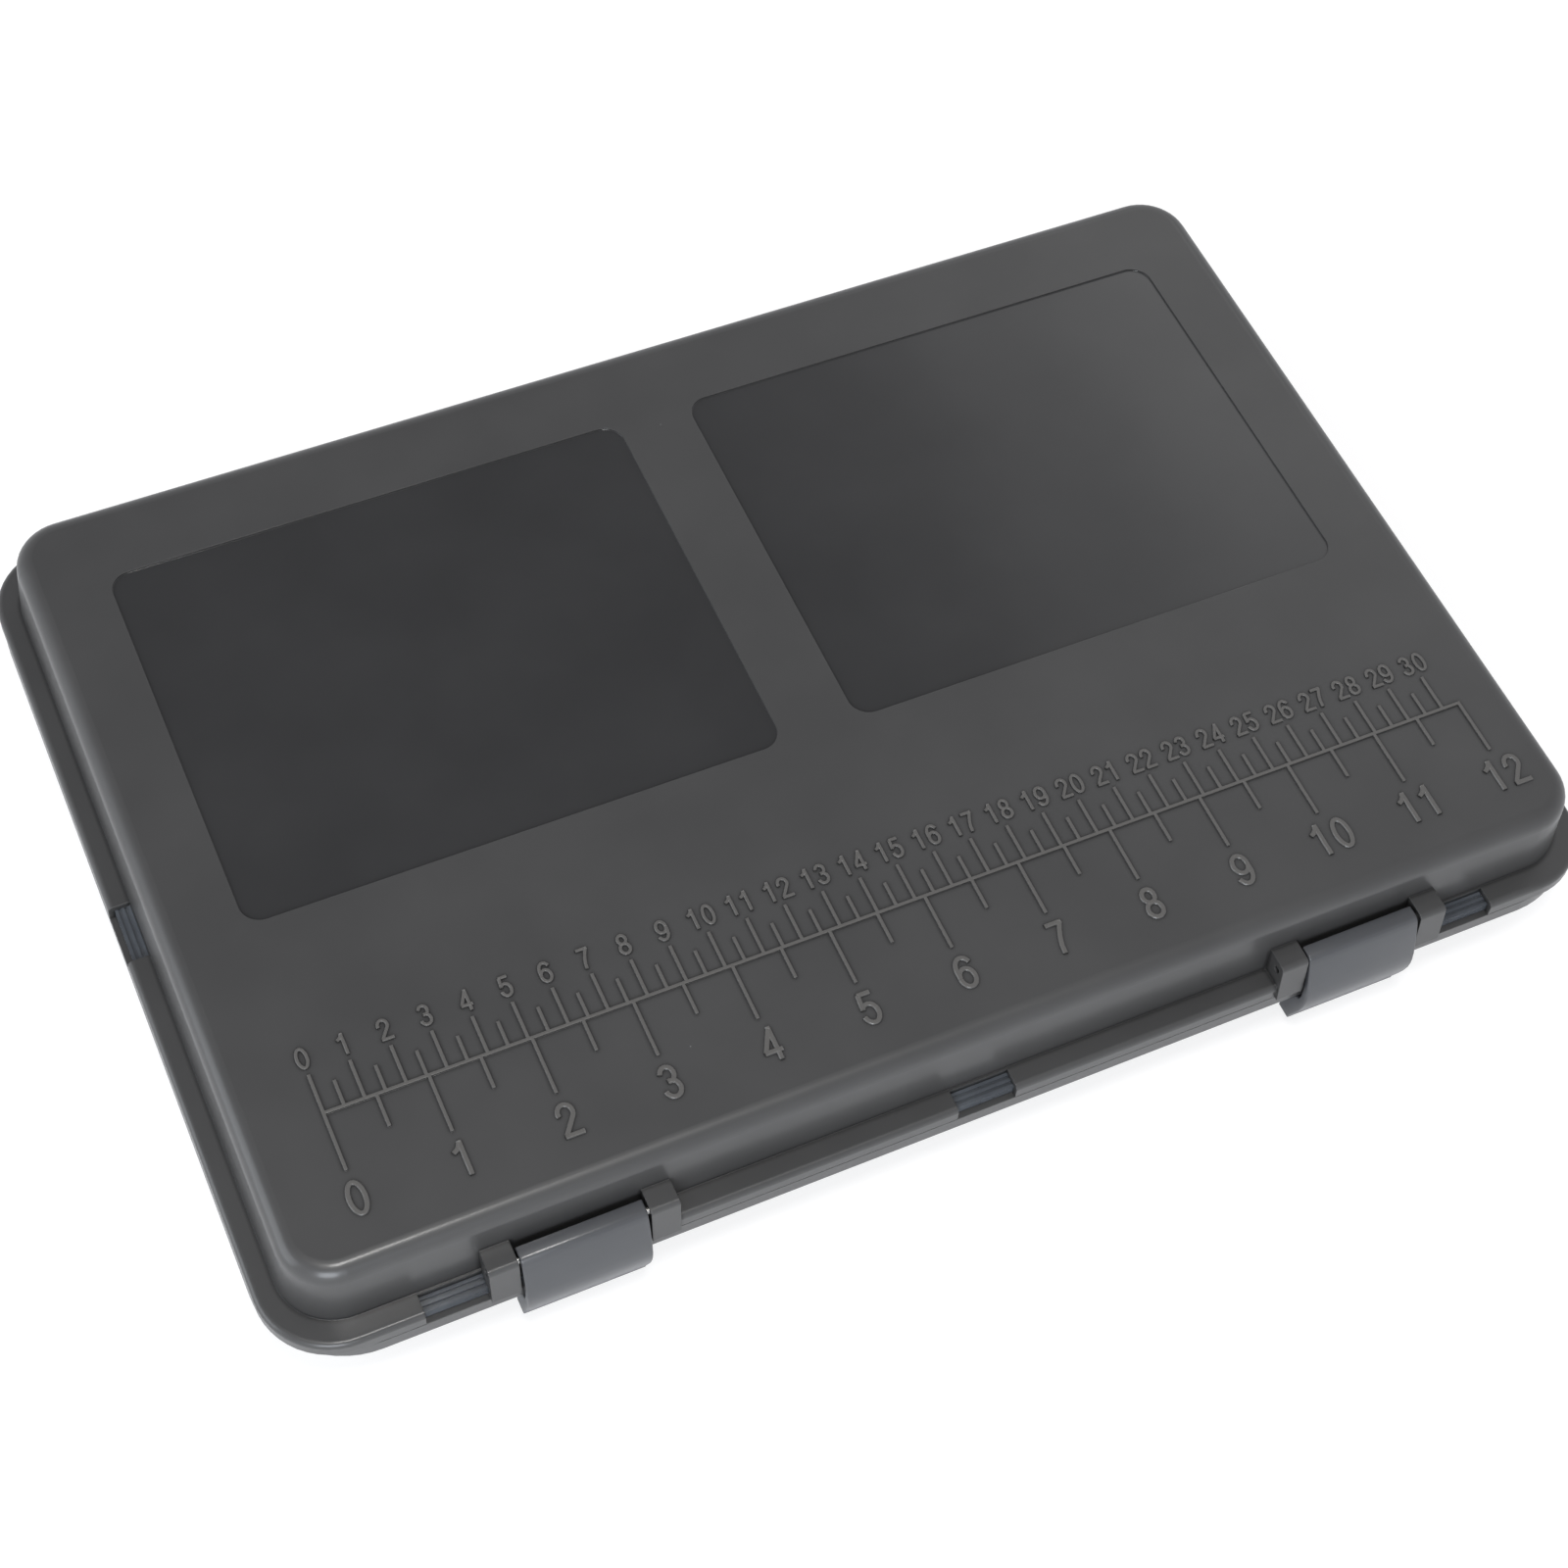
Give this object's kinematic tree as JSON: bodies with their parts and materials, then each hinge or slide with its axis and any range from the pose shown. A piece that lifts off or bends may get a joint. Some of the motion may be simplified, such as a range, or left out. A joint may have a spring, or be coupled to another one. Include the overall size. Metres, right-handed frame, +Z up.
{
  "type": "rig box",
  "caption": "Flat two-part plastic case with a hinged lid, ruler moulded in the lid, front latches and slotted foam rails inside.",
  "frame": {"origin": "centre of the flat underside of the base, under the middle of the rim", "axes": "+X along the length to the right, +Y from the latches towards the hinges, +Z up"},
  "size_m": [0.355, 0.2524, 0.0465],
  "materials": {
    "grey_plastic": "satin moulded polypropylene",
    "latch_plastic": "satin moulded polypropylene",
    "seal_rubber": "smooth, glossy",
    "steel": "bright drawn wire",
    "foam": "matt closed-cell foam",
    "pin_plastic": "glossy moulded heads on steel shafts"
  },
  "bodies": {
    "base": {"base_tray": "grey_plastic", "hinge_pin_left": "steel", "hinge_pin_right": "steel", "rail_left": "grey_plastic", "rail_centre": "grey_plastic", "rail_right": "grey_plastic", "foam_strip_left": "foam", "foam_strip_centre": "foam", "foam_strip_right": "foam", "rig_pins_left": "pin_plastic", "rig_pins_right": "pin_plastic", "base_mat_left": "foam", "base_mat_right": "foam"},
    "lid": {"lid_shell": "grey_plastic", "lid_seal": "seal_rubber", "lid_liner": "foam", "latch_pin_left": "steel", "latch_pin_right": "steel"},
    "latch_left": {"latch_left": "latch_plastic"},
    "latch_right": {"latch_right": "latch_plastic"}
  },
  "joints": [
    {"name": "lid_hinge", "type": "hinge", "parent": "base", "child": "lid", "pos_m": [0, 0.125, 0.0234], "axis": [-1, 0, 0], "range_deg": [0, 180]},
    {"name": "latch_left_pivot", "type": "hinge", "parent": "lid", "child": "latch_left", "pos_m": [-0.1038, -0.1183, 0.031], "axis": [-1, 0, 0], "range_deg": [0, 105]},
    {"name": "latch_right_pivot", "type": "hinge", "parent": "lid", "child": "latch_right", "pos_m": [0.1038, -0.1183, 0.031], "axis": [-1, 0, 0], "range_deg": [0, 105]}
  ]
}
